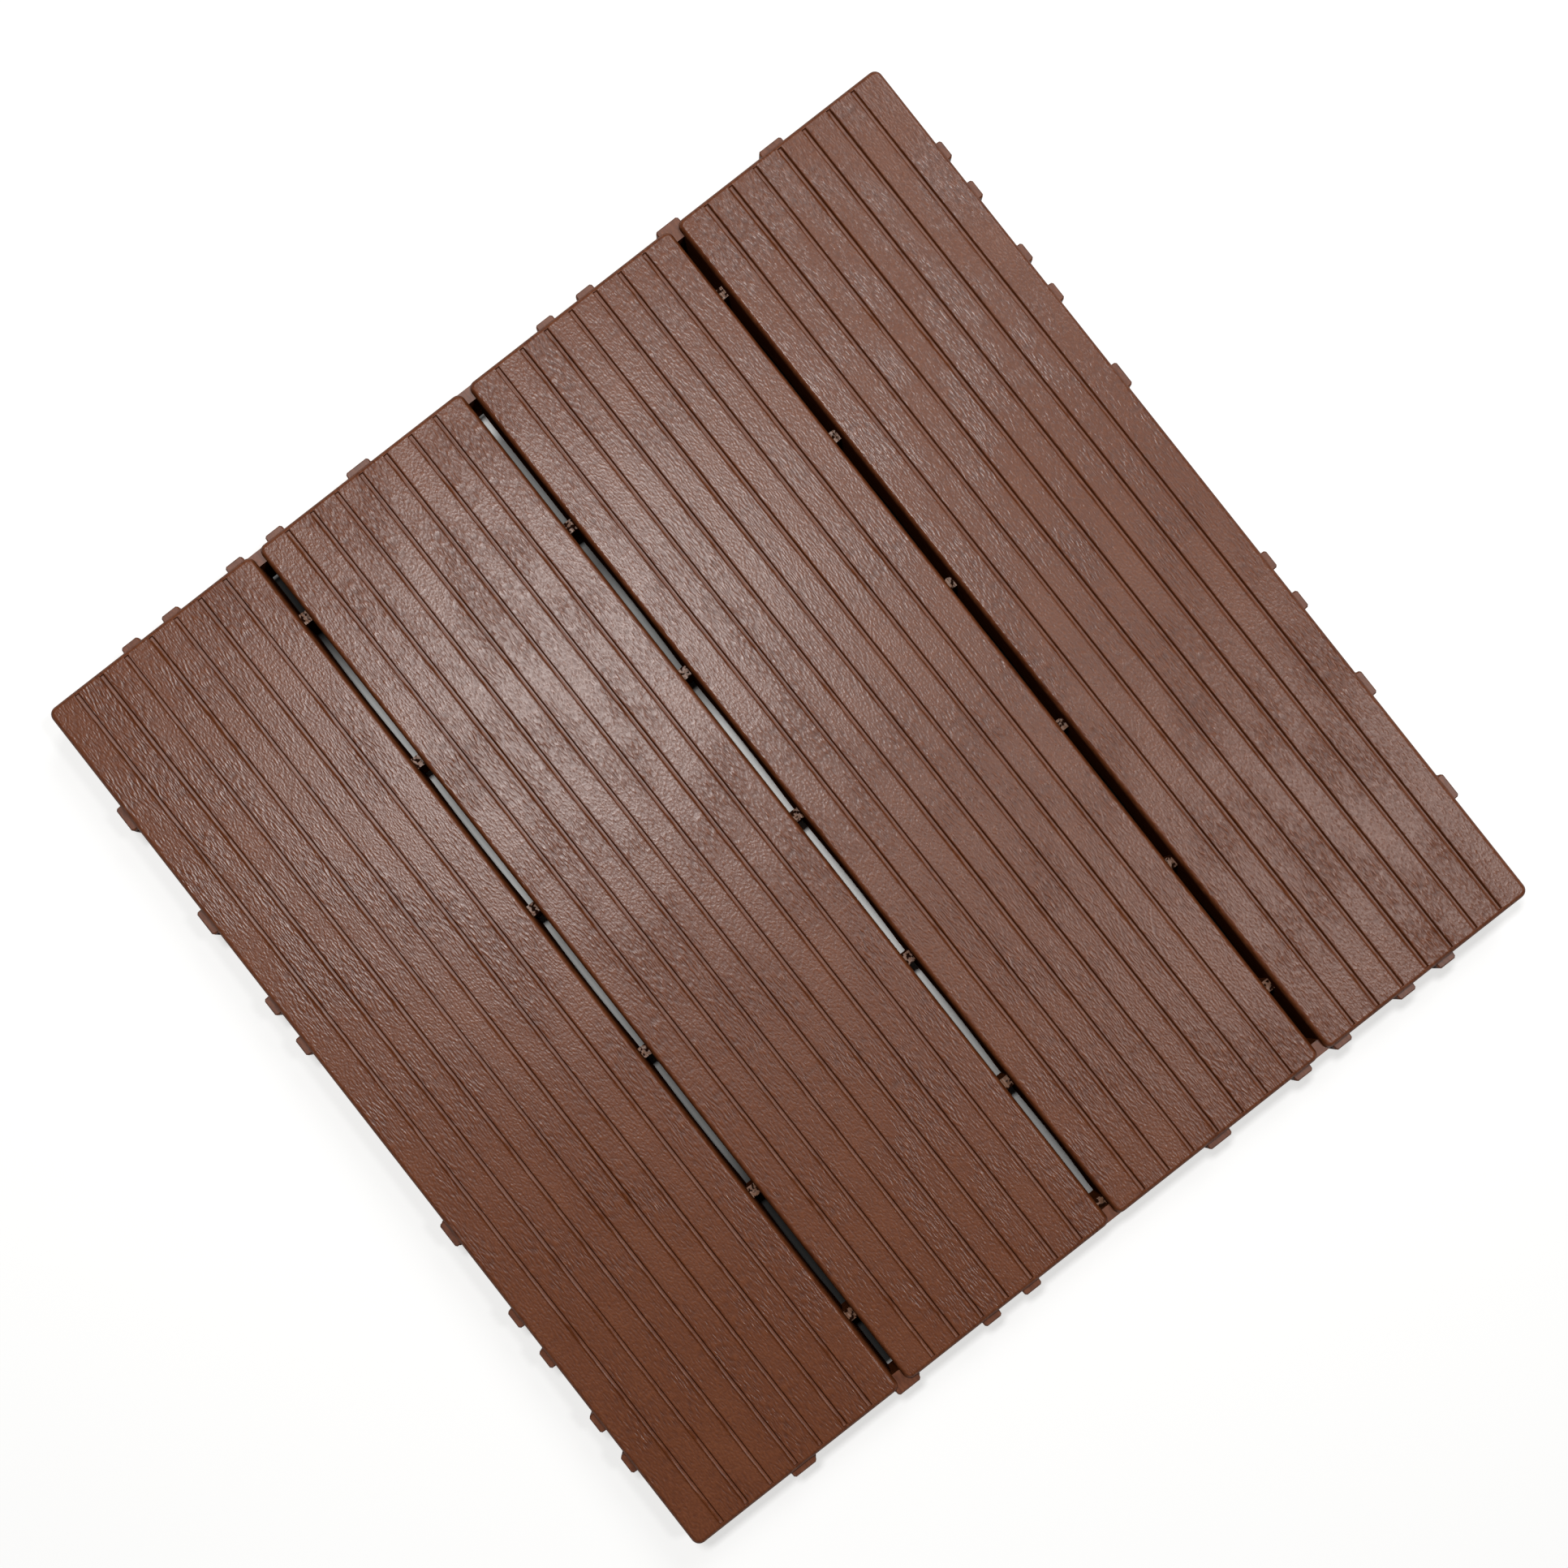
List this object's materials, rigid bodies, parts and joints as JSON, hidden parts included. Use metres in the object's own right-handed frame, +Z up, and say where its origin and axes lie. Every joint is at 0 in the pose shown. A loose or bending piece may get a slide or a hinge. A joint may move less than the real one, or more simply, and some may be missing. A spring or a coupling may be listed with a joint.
{
  "type": "interlocking deck tile",
  "caption": "Square plastic deck tile with parallel grooved slats over a ribbed, open underside, and snap tabs round the rim that lock it to its neighbours.",
  "frame": {"origin": "centre of the footprint, on the ground", "axes": "+Z up through the walking surface, +Y along the slats, +X across them"},
  "size_m": [0.304, 0.304, 0.016],
  "materials": {
    "brown_plastic": "moulded wood grain, satin sheen"
  },
  "bodies": {
    "root": {"deck_tile": "brown_plastic"}
  },
  "joints": []
}
